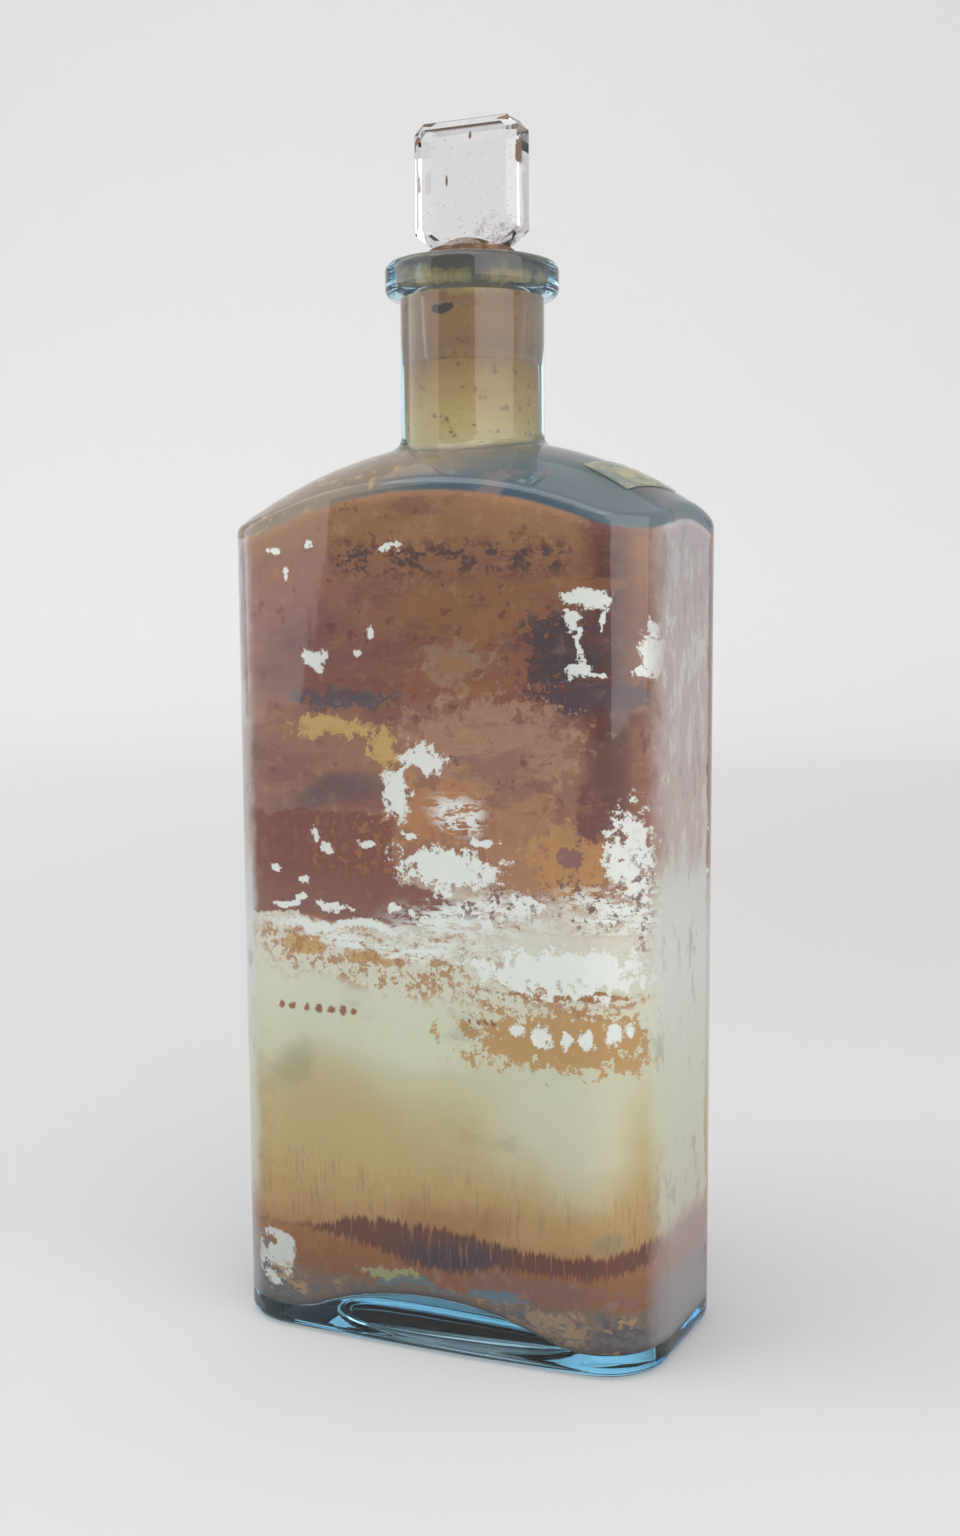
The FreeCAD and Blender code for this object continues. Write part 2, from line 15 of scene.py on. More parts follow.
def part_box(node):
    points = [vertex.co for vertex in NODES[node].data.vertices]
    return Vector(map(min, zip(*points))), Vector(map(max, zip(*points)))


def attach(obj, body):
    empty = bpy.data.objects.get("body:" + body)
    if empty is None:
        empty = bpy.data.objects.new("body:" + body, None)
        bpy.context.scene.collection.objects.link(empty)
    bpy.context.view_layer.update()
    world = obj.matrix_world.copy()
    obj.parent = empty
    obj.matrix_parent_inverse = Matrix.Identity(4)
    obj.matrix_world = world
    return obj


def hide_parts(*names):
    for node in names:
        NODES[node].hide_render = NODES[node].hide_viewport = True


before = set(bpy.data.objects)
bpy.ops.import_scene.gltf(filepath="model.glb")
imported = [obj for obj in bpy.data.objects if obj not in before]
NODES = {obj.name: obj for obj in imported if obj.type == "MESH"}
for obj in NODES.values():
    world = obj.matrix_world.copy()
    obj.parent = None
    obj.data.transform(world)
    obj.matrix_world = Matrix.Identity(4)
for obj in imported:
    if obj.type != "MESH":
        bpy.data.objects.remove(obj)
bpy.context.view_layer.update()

MM = 0.001

# Heights and half sizes of the glass, in millimetres, read from the frame.
WALL_FILM_LOW, WALL_FILM_HIGH = (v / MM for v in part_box("wall_film"))
BOTTLE_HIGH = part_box("bottle")[1] / MM
SHANK_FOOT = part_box("stopper")[0].z / MM
MOUTH = BOTTLE_HIGH.z
FILM_FRONT = WALL_FILM_LOW.y
FILM_TOP = SHANK_FOOT - 2

# The glass: its refractive index, and what is left of white light after a depth of it in millimetres.
GLASS_INDEX = 1.5
BOTTLE_TINT, BOTTLE_DEPTH = (0.22, 0.61, 0.88), 50
STOPPER_TINT, STOPPER_DEPTH = (0.9, 0.88, 0.9), 20
LAMP_TINT = (0.97, 0.985, 0.985, 1)

# The tones of the film and the neck are written as they look through the blue glass, so they are
# multiplied by this, which makes them warmer.
THROUGH_GLASS = (1.0, 0.87, 0.8)


def linear(level):
    """A screen level, 0 to 255, as the linear value that shaders take."""
    share = level / 255
    return ((share + 0.055) / 1.055) ** 2.4 if level > 10 else share / 12.92


def rgb(red, green, blue):
    """A colour written as it looks on a screen, as linear values."""
    return linear(red), linear(green), linear(blue)


# ---------------------------------------------------------------- node painting


class Paint:
    """A material being written: short calls that add nodes and return their output sockets."""

    def __init__(self, name):
        self.material = bpy.data.materials.new(name)
        self.material.use_nodes = True
        self.tree = self.material.node_tree
        self.tree.nodes.clear()
        self.place = self.vector("SCALE", self.node("ShaderNodeTexCoord").outputs["Object"], scale=1 / MM)
        split = self.node("ShaderNodeSeparateXYZ")
        self.link(self.place, split.inputs[0])
        self.x, self.y, self.z = split.outputs

    def node(self, kind, **settings):
        made = self.tree.nodes.new(kind)
        for name, value in settings.items():
            setattr(made, name, value)
        return made

    def link(self, source, target):
        """Feeds a socket from another one, or sets it to a plain value."""
        if isinstance(source, bpy.types.NodeSocket):
            self.tree.links.new(source, target)
        else:
            target.default_value = source

    def math(self, operation, *values, clamp=False):
        made = self.node("ShaderNodeMath", operation=operation, use_clamp=clamp)
        for socket, value in zip(made.inputs, values):
            self.link(value, socket)
        return made.outputs[0]

    def vector(self, operation, *values, scale=None):
        made = self.node("ShaderNodeVectorMath", operation=operation)
        for socket, value in zip(made.inputs, values):
            self.link(value, socket)
        if scale is not None:
            self.link(scale, made.inputs["Scale"])
        return made.outputs["Value" if operation == "LENGTH" else "Vector"]

    def flat(self, u, z):
        """A place on the unrolled film."""
        joined = self.node("ShaderNodeCombineXYZ")
        self.link(u, joined.inputs[0])
        self.link(z, joined.inputs[1])
        return joined.outputs[0]

    def noise(self, size, detail=4.0, roughness=0.6, stretch=(1, 1, 1), colour=False):
        """Noise whose features are about size millimetres across, 0 to 1, drawn out by stretch."""
        made = self.node("ShaderNodeTexNoise")
        scale = tuple(1 / (size * s) for s in stretch)
        self.link(self.vector("MULTIPLY", self.place, scale), made.inputs["Vector"])
        made.inputs["Scale"].default_value = 1.0
        made.inputs["Detail"].default_value = detail
        made.inputs["Roughness"].default_value = roughness
        return made.outputs["Color" if colour else "Fac"]

    def step(self, low, high, value):
        """0 below low, 1 above high, smooth between; high may be under low to turn it round."""
        made = self.node("ShaderNodeMapRange", interpolation_type="SMOOTHSTEP")
        for name, part in (("Value", value), ("From Min", low), ("From Max", high)):
            self.link(part, made.inputs[name])
        return made.outputs["Result"]

    def band(self, low, high, soft, value):
        """1 between low and high, with soft edges."""
        rise = self.step(low - soft, low + soft, value)
        return self.math("MULTIPLY", rise, self.step(high + soft, high - soft, value))

    def blob(self, at, centre, radii, soft=0.15, crumble=None):
        """1 inside an ellipse on the film, 0 outside it; crumble is a value about 0 that frays its edge."""
        scale = (1 / radii[0], 1 / radii[1], 0)
        shift = (-centre[0] / radii[0], -centre[1] / radii[1], 0)
        spot = self.vector("MULTIPLY_ADD", at, scale, shift)
        reach = self.vector("LENGTH", spot)
        if crumble is not None:
            reach = self.math("ADD", reach, crumble)
        return self.step(1 + soft, 1 - soft, reach)

    def most(self, masks):
        """The greatest of several masks."""
        total = masks[0]
        for mask in masks[1:]:
            total = self.math("MAXIMUM", total, mask)
        return total

    def both(self, a, b):
        """Where a and b are."""
        return self.math("MULTIPLY", a, b)

    def less(self, a, b):
        """a where b is not."""
        return self.math("SUBTRACT", a, b, clamp=True)

    def mix(self, under, over, mask):
        """One colour over another where mask is 1; plain colours are linear values."""
        made = self.node("ShaderNodeMix", data_type="RGBA")
        self.link(mask, made.inputs["Factor"])
        for socket, value in ((made.inputs[6], under), (made.inputs[7], over)):
            self.link((*value, 1.0) if isinstance(value, tuple) else value, socket)
        return made.outputs[2]

    def tint(self, under, tone, mask, strength=1.0):
        """Lays one colour over another where mask is 1; plain colours are screen colours."""
        if strength < 1.0:
            mask = self.math("MULTIPLY", mask, strength)
        under, tone = (rgb(*c) if isinstance(c, tuple) else c for c in (under, tone))
        return self.mix(under, tone, mask)

    def ramp(self, value, low, high, stops):
        """Screen colours along a value between low and high; stops are (value, colour)."""
        made = self.node("ShaderNodeValToRGB")
        self.link(self.math("DIVIDE", self.math("SUBTRACT", value, low), high - low), made.inputs[0])
        elements = made.color_ramp.elements
        while len(elements) < len(stops):
            elements.new(0.5)
        for element, (at, colour) in zip(elements, stops):
            element.position = (at - low) / (high - low)
            element.color = (*rgb(*colour), 1.0)
        return made.outputs["Color"]

    def curve(self, value, low, high, top, points):
        """A smooth line through (value, height) points, heights from 0 to top."""
        made = self.node("ShaderNodeFloatCurve")
        self.link(self.math("DIVIDE", self.math("SUBTRACT", value, low), high - low), made.inputs["Value"])
        line = made.mapping.curves[0]
        while len(line.points) < len(points):
            line.points.new(0.5, 0.5)
        for point, (at, height) in zip(line.points, points):
            point.location = ((at - low) / (high - low), height / top)
        made.mapping.update()
        return self.math("MULTIPLY", made.outputs[0], top)

    def laid_over(self, under, over, mask):
        """One shader over another where mask is 1."""
        mixed = self.node("ShaderNodeMixShader")
        for socket, source in zip(mixed.inputs, (mask, under, over)):
            self.link(source, socket)
        return mixed.outputs[0]

    def bump(self, height, strength, depth):
        """Relief up to depth millimetres."""
        made = self.node("ShaderNodeBump")
        made.inputs["Strength"].default_value = strength
        made.inputs["Distance"].default_value = depth * MM
        self.link(height, made.inputs["Height"])
        return made.outputs["Normal"]

    def principled(self, **inputs):
        made = self.node("ShaderNodeBsdfPrincipled")
        for name, value in inputs.items():
            socket = made.inputs[name.replace("_", " ")]
            self.link((*value, 1.0) if isinstance(value, tuple) and len(value) == 3 else value, socket)
        return made.outputs["BSDF"]

    def finish(self, surface, volume=None):
        """Joins the shaders to the output, and gives the material."""
        out = self.node("ShaderNodeOutputMaterial")
        self.link(surface, out.inputs["Surface"])
        if volume is not None:
            self.link(volume, out.inputs["Volume"])
        return self.material


# ---------------------------------------------------------------- glass


def glass(name, tint, depth, stain):
    """Clear glass that lamps shine through; tint is what is left of white light after depth millimetres."""
    paint = Paint(name)
    ripple = paint.noise(14, detail=2, roughness=0.4, stretch=(1, 1, 2.5))
    body = paint.principled(
        Base_Color=(1.0, 1.0, 1.0),
        Roughness=0.03,
        IOR=GLASS_INDEX,
        Transmission_Weight=1.0,
        Normal=paint.bump(ripple, 0.5, 0.3),
    )
    body = stain(paint, body)
    clear = paint.node("ShaderNodeBsdfTransparent")
    clear.inputs["Color"].default_value = LAMP_TINT
    to_lamp = paint.node("ShaderNodeLightPath").outputs["Is Shadow Ray"]
    lamps_pass = paint.laid_over(body, clear.outputs[0], to_lamp)
    # Volume Absorption takes off (1 - colour) * density for each metre.
    losses = [-math.log(c) / (depth * MM) for c in tint]
    absorb = paint.node("ShaderNodeVolumeAbsorption")
    absorb.inputs["Density"].default_value = max(losses)
    absorb.inputs["Color"].default_value = (*(1 - loss / max(losses) for loss in losses), 1)
    return paint.finish(lamps_pass, absorb.outputs[0])


# Small brown marks on the stopper's head: (x, z), (half width, half height).
HEAD_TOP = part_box("stopper")[1].z / MM
STOPPER_MARKS = [
    ((-9.6, HEAD_TOP - 3.4), (1.1, 0.7)),
    ((-3.2, HEAD_TOP - 11.5), (0.25, 1.0)),
    ((1.8, HEAD_TOP - 3.6), (0.3, 0.8)),
    ((10.9, HEAD_TOP - 7), (0.35, 2.2)),
    ((8.4, HEAD_TOP - 0.8), (1.3, 0.4)),
]


# The neck's colour by height: gold low down, brown by the shank, dark at the mouth.
NECK_LOW, NECK_TOP = 170, 209
NECK_TONES = [
    (170, (204, 182, 138)),
    (177, (188, 156, 104)),
    (185, (166, 126, 80)),
    (191, (136, 96, 68)),
    (197, (146, 104, 66)),
    (201, (132, 90, 60)),
    (203, (160, 134, 84)),
    (205.5, (134, 114, 72)),
    (206.5, (76, 66, 58)),
    (209, (64, 58, 54)),
]


def neck_tone(paint):
    """The neck's tones, made uneven, with speckle and one dark blotch under the lip."""
    drift = paint.noise(8, detail=6, roughness=0.65)
    height = paint.math("MULTIPLY_ADD", drift, 12, paint.math("SUBTRACT", paint.z, 6))
    colour = paint.ramp(height, NECK_LOW, NECK_TOP, NECK_TONES)
    speckle = paint.step(0.6, 0.64, paint.noise(1.6, detail=5, roughness=0.6))
    colour = paint.tint(colour, (96, 66, 48), speckle, 0.6)
    at = paint.flat(paint.x, paint.z)
    fray = paint.math("MULTIPLY_ADD", paint.noise(2.4, detail=8, roughness=0.72), 2.4, -1.2)
    blotch = paint.blob(at, (-1.4, 198.6), (2.1, 1.0), 0.06, fray)
    return paint.tint(colour, (62, 48, 38), blotch)


# The radius at which the ground bore's residue starts, and where it is whole.
BORE_OUT, BORE_IN = 10.6, 10.3


def joint_stain(paint, body):
    """Residue dried on the ground bore of the neck."""
    level = paint.vector("MULTIPLY", paint.place, (1, 1, 0))
    in_bore = paint.step(BORE_OUT, BORE_IN, paint.vector("LENGTH", level))
    ground = paint.both(in_bore, paint.band(FILM_TOP, MOUTH - 0.3, 0.3, paint.z))
    tone = paint.vector("MULTIPLY", neck_tone(paint), THROUGH_GLASS)
    residue = paint.principled(Base_Color=tone, Roughness=0.7)
    return paint.laid_over(body, residue, paint.math("MULTIPLY", ground, 0.93))


def shank_tone(paint):
    """Streaked tan on the shank, dark brown round the collar, brown on the head."""
    streaks = paint.step(0.35, 0.75, paint.noise(5, detail=5, stretch=(0.7, 0.7, 2.4)))
    colour = paint.tint((132, 98, 58), (196, 176, 128), streaks)
    colour = paint.tint(colour, (86, 62, 46), paint.step(MOUTH - 1, MOUTH + 1, paint.z))
    lumps = paint.noise(7, detail=5, roughness=0.7, stretch=(1.3, 1.3, 0.5))
    colour = paint.tint(colour, (84, 62, 44), paint.step(0.62, 0.66, lumps))
    return paint.tint(colour, (112, 84, 62), paint.step(MOUTH + 3, MOUTH + 4, paint.z))


def head_dust_and_edge_shade(paint):
    """Flecks, marks and a smear on the stopper's head, and a painted shade line on its top back edge."""
    flecks = paint.step(0.6, 0.64, paint.noise(1.1, detail=6, roughness=0.72))
    low_part = paint.step(MOUTH + 12, MOUTH + 3, paint.z)
    dust = paint.both(flecks, paint.math("MULTIPLY_ADD", low_part, 0.5, 0.2))
    at = paint.flat(paint.x, paint.z)
    fray = paint.math("MULTIPLY_ADD", paint.noise(1.4, detail=6, roughness=0.7), 2, -1)
    on_front = paint.step(0, -1, paint.y)
    marks = [paint.both(paint.blob(at, *mark, 0.1, fray), on_front) for mark in STOPPER_MARKS]
    # Painted shade: a dark line along the head's top back edge, where the glass edge looks dark.
    at_top = paint.step(HEAD_TOP - 0.9, HEAD_TOP - 0.5, paint.z)
    painted_edge_shade = paint.both(at_top, paint.step(0.6, 1.4, paint.y))
    rubbed = paint.step(0.48, 0.56, paint.noise(1.6, detail=6))
    smear = paint.both(paint.blob(at, (6.5, MOUTH + 5), (4, 3), 0.5), rubbed)
    painted_edge_shade, smear = paint.math("MULTIPLY", painted_edge_shade, 0.9), paint.math("MULTIPLY", smear, 0.35)
    return paint.most([dust, *marks, painted_edge_shade, smear])


def shank_stain(paint, body):
    """Brown residue on the ground shank and collar, flecks on the head, and a painted edge shade."""
    edge = paint.math("MULTIPLY", paint.math("SUBTRACT", paint.noise(2.2), 0.5), 1.6)
    on_shank = paint.step(MOUTH + 1.2, MOUTH + 0.4, paint.math("ADD", paint.z, edge))
    residue = paint.principled(Base_Color=shank_tone(paint), Roughness=0.7)
    return paint.laid_over(body, residue, paint.math("MAXIMUM", on_shank, head_dust_and_edge_shade(paint)))


# ---------------------------------------------------------------- the silver film

# The back begins where y, with up to BACK_RAGGED of noise added, passes BACK_FROM.
BACK_FROM, BACK_RAGGED = 17, 8
# This far from the middle, along x, the depth begins to count in full towards u.
CORNER_FROM = 30


class FilmMap:
    """u, z and three ways of roughening them, so that edges on the film are soft, torn or crumbled."""

    def __init__(self, paint):
        self.paint = paint
        ragged = paint.math("MULTIPLY_ADD", paint.noise(9, detail=6), BACK_RAGGED, paint.y)
        self.behind = paint.math("GREATER_THAN", ragged, BACK_FROM)
        self.u = self.along(self.behind)
        self.at = paint.flat(self.u, paint.z)
        self.cloudy = self.warped(26, 9, 3, 0.5)
        self.torn = self.warped(9, 4.0, 7, 0.68)
        self.crumbled = self.warped(3.2, 1.6, 7, 0.75)
        split = paint.node("ShaderNodeSeparateXYZ")
        paint.link(self.torn, split.inputs[0])
        self.torn_u, self.torn_z = split.outputs[0], split.outputs[1]
        self.fine = paint.noise(2.6, detail=8, roughness=0.72)
        self.coarse = paint.noise(16, detail=6, roughness=0.6, stretch=(1.6, 1.6, 0.8))
        self.comb = paint.noise(1.2, detail=3, roughness=0.6, stretch=(0.6, 0.6, 5))
        self.fray = paint.math("MULTIPLY_ADD", paint.noise(2.6, detail=9, roughness=0.78), 4.4, -2.2)

    def along(self, behind):
        """u, which turns the corners beside the front and starts afresh at the back."""
        paint = self.paint
        from_front = paint.math("SUBTRACT", paint.y, FILM_FRONT)
        side_of = paint.node("ShaderNodeMapRange")
        paint.link(paint.x, side_of.inputs["Value"])
        ends = {"From Min": -CORNER_FROM, "From Max": CORNER_FROM, "To Min": -1, "To Max": 1}
        for name, value in ends.items():
            paint.link(value, side_of.inputs[name])
        u_front = paint.math("MULTIPLY_ADD", from_front, side_of.outputs[0], paint.x)
        u_back = paint.math("SUBTRACT", BACK_SHIFT, paint.x)
        return paint.math("MULTIPLY_ADD", paint.math("SUBTRACT", u_back, u_front), behind, u_front)

    def warped(self, size, reach, detail, roughness):
        """(u, z) pushed about by up to reach millimetres, in waves of about size millimetres."""
        paint = self.paint
        push = paint.noise(size, detail=detail, roughness=roughness, colour=True)
        centred = paint.vector("SUBTRACT", push, (0.5, 0.5, 0.5))
        return paint.vector("MULTIPLY_ADD", centred, (2 * reach, 2 * reach, 0), self.at)


# The back starts this far along u, past every patch listed for the front.
BACK_SHIFT = 220

# Soft clouds of tarnish over the bands: (u, z), (half width, half height), colour, strength.
CLOUDS = [
    ((-27, 143), (22, 8), (152, 98, 88), 0.8),
    ((-24, 134), (20, 6), (132, 86, 86), 0.75),
    ((8, 141), (18, 6), (150, 100, 68), 0.6),
    ((-20, 106), (11, 3), (88, 72, 86), 0.7),
    ((-34, 112), (8, 16), (140, 98, 90), 0.5),
    ((27, 46), (15, 11), (212, 209, 186), 0.8),
    ((-24, 42), (18, 12), (192, 164, 114), 0.7),
    ((-30, 53), (5, 4.2), (160, 152, 118), 0.6),
    ((5, 27.5), (13, 3.6), (160, 110, 64), 0.7),
    ((0, 62), (13, 5), (216, 212, 190), 0.8),
    ((38, 27), (4, 2), (140, 130, 104), 0.6),
]

# Torn patches, in the order they lie: (u, z), (half width, half height), colour.
PATCHES = [
    ((29, 133.5), (9, 7.5), (80, 62, 66)),
    ((-17, 125), (10, 2.2), (92, 78, 86)),
    ((34, 125), (14, 3.0), (88, 66, 74)),
    ((13, 116), (17, 9), (170, 124, 100)),
    ((7, 132), (6, 4), (152, 116, 92)),
    ((-20, 119.3), (8.5, 2.4), (202, 160, 94)),
    ((-8.5, 116), (2.6, 4), (202, 160, 94)),
    ((4, 104), (11, 7), (182, 122, 76)),
    ((19, 99), (8, 12), (172, 118, 84)),
    ((30, 96), (8, 6.5), (188, 134, 80)),
    ((29.5, 96), (2.6, 1.3), (138, 92, 88)),
    ((34, 105), (3.2, 6), (110, 60, 54)),
    ((28, 62.5), (20, 5.6), (190, 145, 90)),
    ((-27, 77), (5, 1.9), (200, 160, 106)),
    ((-12, 75.5), (6, 1.2), (196, 152, 98)),
    ((31, 71), (16, 0.6), (168, 110, 62)),
    ((-38, 10), (6, 5.5), (100, 96, 98)),
    ((14, 12.3), (7, 1.2), (96, 114, 130)),
    ((-4, 12.4), (8, 0.9), (98, 110, 118)),
    ((-9, 13.8), (6, 0.9), (152, 150, 106)),
    ((26, 15), (19, 2.4), (130, 88, 78)),
    ((25, 7.5), (10, 2.8), (152, 124, 98)),
    ((41, 6), (8, 5), (80, 76, 82)),
    ((-34, 6), (3, 2.6), (92, 90, 94)),
]

# Where the film has flaked to bright silver: (u, z), (half width, half height).
FLAKES = [
    ((34, 143.2), (4.6, 1.7)),
    ((29.8, 140), (1.5, 2.2)),
    ((31.2, 134.5), (0.5, 4)),
    ((31, 130), (1.9, 1.4)),
    ((35, 128.9), (2.6, 0.4)),
    ((36.2, 139), (0.9, 1.6)),
    ((-23.5, 132.5), (2.5, 1.8)),
    ((-11, 137.5), (1.1, 0.9)),
    ((-14.6, 134), (0.8, 0.8)),
    ((-6.2, 153), (1.7, 0.8)),
    ((-24, 153.4), (0.7, 0.8)),
    ((-33, 153.2), (1.4, 0.9)),
    ((-30, 148.2), (0.6, 1.3)),
    ((-0.5, 114.2), (3.6, 2.7)),
    ((-5.6, 108), (2.6, 5)),
    ((-3, 99.6), (2, 0.7)),
    ((-22, 96), (1.6, 0.9)),
    ((-25, 98), (0.6, 1.6)),
    ((-6.8, 85), (1.6, 1.0)),
    ((-3, 84.4), (1.0, 0.8)),
    ((-27.5, 85.4), (1.7, 0.6)),
    ((-27, 88.8), (1.2, 0.6)),
    ((-31, 84.2), (3.5, 0.7)),
    ((-20, 84.6), (4.5, 0.5)),
    ((-12, 97), (2.2, 0.7)),
    ((-33, 92), (1.2, 0.6)),
    ((12, 99), (3, 1.0)),
    ((20, 87), (4, 1.6)),
    ((-18, 81.2), (13, 1.0)),
    ((43.5, 97.5), (5.4, 7.5)),
    ((49.5, 133.5), (3.4, 5.2)),
    ((45.5, 129.6), (2.6, 0.9)),
    ((56, 150), (2, 5)),
    ((58, 118), (1.6, 6)),
    ((29, 75.4), (18, 4.2)),
    ((4, 93), (10, 4)),
]
RIM_FLAKES = [(19, 64, 1.3), (24, 63, 1.9), (29, 62.5, 1.4), (33, 63, 1.8), (39, 64, 1.9), (42.5, 65, 1.1)]

# The dark tide line near the bottom: its upper and lower edges, as (u, height).
TIDE_TOP = [(-80, 22), (-38, 20.6), (-25, 21.2), (-17, 23.8), (-6, 24.2), (10, 23.4), (20, 22), (32, 21.8)]
TIDE_TOP += [(42, 23.6), (52, 25), (80, 24)]
TIDE_LOW = [(-80, 18.5), (-38, 20.2), (-25, 20), (-12, 18.4), (-3, 16.4), (6, 16), (14, 17.8), (32, 18)]
TIDE_LOW += [(42, 19.6), (52, 20.6), (80, 19)]


# The film's colour by height alone.
BAND_TONES = [
    (0, (104, 92, 86)),
    (11, (118, 98, 88)),
    (13, (134, 86, 56)),
    (19, (148, 94, 52)),
    (24, (178, 140, 90)),
    (32, (188, 156, 106)),
    (44, (196, 178, 132)),
    (56, (208, 203, 176)),
    (66, (216, 212, 192)),
    (79, (222, 214, 200)),
    (88, (206, 184, 168)),
    (92, (164, 112, 82)),
    (104, (150, 96, 76)),
    (116, (154, 104, 82)),
    (126, (146, 92, 72)),
    (136, (148, 98, 70)),
    (146, (140, 92, 70)),
    (154, (152, 108, 76)),
    (168, (148, 106, 76)),
]

# The same on the narrow sides, dulled and silvery, with painted light that makes them paler.
SIDE_TONES_WITH_PAINTED_LIGHT = [
    (0, (142, 136, 138)),
    (16, (160, 148, 150)),
    (19, (172, 134, 130)),
    (24, (182, 150, 144)),
    (28, (212, 206, 184)),
    (60, (216, 214, 198)),
    (72, (224, 222, 218)),
    (90, (222, 220, 216)),
    (96, (206, 182, 178)),
    (130, (200, 180, 180)),
    (170, (184, 172, 176)),
]

BAND_TOP = 176
FLAKE_TONE = (238, 238, 234)

# Where specks, grit and dark grit lie: (u, z), (half width, half height), softness.
SPECK_ZONES = [((-12, 76), (28, 6.5), 0.25), ((26, 70), (22, 2.5), 0.3)]
GRIT_ZONES = [((40, 88), (11, 4.5), 0.4), ((10, 84), (16, 4), 0.5)]
GRIT_ZONES += [((-12, 79), (24, 2), 0.5), ((6, 105), (6, 4), 0.4)]
DARK_GRIT_ZONES = [((33, 89.5), (9, 5), 0.3), ((16, 86), (10, 3), 0.4), ((44, 90), (4, 8), 0.4)]

# Small blisters, by u: a row at the left and a smaller one at the middle.
BLISTERS_LEFT = (-33, -30.5, -27, -24, -21, -18.5, -16)
BLISTERS_MIDDLE = (9, 11, 12.5, 14)


def lay_clouds(paint, on, colour):
    """Soft clouds of tarnish."""
    for centre, radii, tone, strength in CLOUDS:
        colour = paint.tint(colour, tone, paint.blob(on.cloudy, centre, radii, 0.5), strength)
    return colour


def lay_corner_reflection(paint, on, colour):
    """The dark column down the right of the front: a painted dark reflection of the glass corner."""
    painted_corner_reflection = paint.both(paint.band(33, 42.5, 3.2, on.u), paint.step(98, 106, on.torn_z))
    # Painted reflection: the curved glass corner's dark band, laid over the film in dark red.
    return paint.tint(colour, (84, 42, 40), painted_corner_reflection, 0.85)


def lay_block(paint, on, colour):
    """The maroon block at the left, with its sharp lower edge and a tongue that runs to the middle."""
    block = paint.both(paint.band(82.3, 103, 0.25, on.torn_z), paint.step(-6.2, -6.8, on.torn_u))
    tongue = paint.blob(on.torn, (-6, 86), (12.5, 3.7), 0.05)
    colour = paint.tint(colour, (124, 62, 50), paint.most([block, tongue]), 0.92)
    veins = paint.both(paint.step(0.52, 0.6, on.fine), paint.band(91, 104, 2, on.torn_z))
    veins = paint.both(veins, paint.both(paint.step(-29, -24, on.u), block))
    return paint.tint(colour, (170, 108, 62), veins, 0.8)


def lay_patches(paint, on, colour):
    """Torn patches, each over the ones before it."""
    for centre, radii, tone in PATCHES:
        colour = paint.tint(colour, tone, paint.blob(on.torn, centre, radii, 0.05, on.fray))
    return colour


def lay_mottling(paint, on, colour):
    """Violet and amber strata above the pale band, and mottling over everything."""
    strata = paint.noise(11, detail=8, roughness=0.68, stretch=(2.2, 2.2, 0.6))
    upper_part = paint.step(96, 106, on.torn_z)
    colour = paint.tint(colour, (112, 66, 66), paint.both(paint.step(0.52, 0.6, strata), upper_part), 0.45)
    colour = paint.tint(colour, (168, 112, 70), paint.both(paint.step(0.46, 0.4, strata), upper_part), 0.4)
    colour = paint.tint(colour, (96, 62, 58), paint.step(0.56, 0.75, on.coarse), 0.3)
    return paint.tint(colour, (214, 180, 140), paint.step(0.5, 0.3, on.fine), 0.16)


def lay_spots(paint, on, colour):
    """Dark spots in a row high on the front, and reddish freckles over the upper part."""
    spots = paint.step(0.5, 0.53, paint.noise(3.0, detail=8, roughness=0.76, stretch=(1.2, 1.2, 0.9)))
    spots = paint.both(spots, paint.both(paint.band(148, 154, 2, paint.z), paint.band(-19, 29, 2, on.u)))
    colour = paint.tint(colour, (82, 58, 62), spots, 0.9)
    freckles = paint.step(0.64, 0.67, paint.noise(2.8, detail=3, roughness=0.5))
    return paint.tint(colour, (112, 62, 56), paint.both(freckles, paint.step(100, 106, on.torn_z)), 0.6)


def lay_tide(paint, on, colour):
    """The tide line: dark red-violet, almost blue at the middle, with fine upright scratches."""
    top = paint.curve(on.u, -80, 80, 40, TIDE_TOP)
    low = paint.curve(on.u, -80, 80, 40, TIDE_LOW)
    wavering = paint.math("MULTIPLY_ADD", paint.math("SUBTRACT", on.comb, 0.5), 6, paint.z)
    under_top = paint.step(0.7, -0.7, paint.math("SUBTRACT", wavering, top))
    over_low = paint.step(-0.8, 0.8, paint.math("SUBTRACT", wavering, low))
    tone = paint.tint((98, 48, 40), (54, 44, 62), paint.blob(on.cloudy, (4, 19.5), (11, 5), 0.6))
    tone = paint.tint(tone, (150, 104, 84), paint.step(0.55, 0.7, on.comb), 0.55)
    colour = paint.tint(colour, tone, paint.both(under_top, over_low), 0.94)
    combed = paint.both(paint.step(0.52, 0.66, on.comb), paint.band(20, 34, 5, on.torn_z))
    return paint.tint(colour, (142, 104, 64), combed, 0.4)


def zones(paint, on, places):
    """1 in any of the listed places."""
    return paint.most([paint.blob(on.cloudy, *place) for place in places])


def lay_specks(paint, on, colour):
    """Orange-brown specks crumbling on the cream, and rows of small blisters."""
    speck = paint.step(0.5, 0.54, paint.noise(1.7, detail=7, roughness=0.74))
    colour = paint.tint(colour, (176, 120, 72), paint.both(speck, zones(paint, on, SPECK_ZONES)), 0.85)
    blisters = [paint.blob(on.crumbled, (u, 64.6), (0.8, 0.8), 0.3) for u in BLISTERS_LEFT]
    blisters += [paint.blob(on.crumbled, (u, 64.8), (0.5, 0.5), 0.3) for u in BLISTERS_MIDDLE]
    return paint.tint(colour, (150, 92, 66), paint.most(blisters))


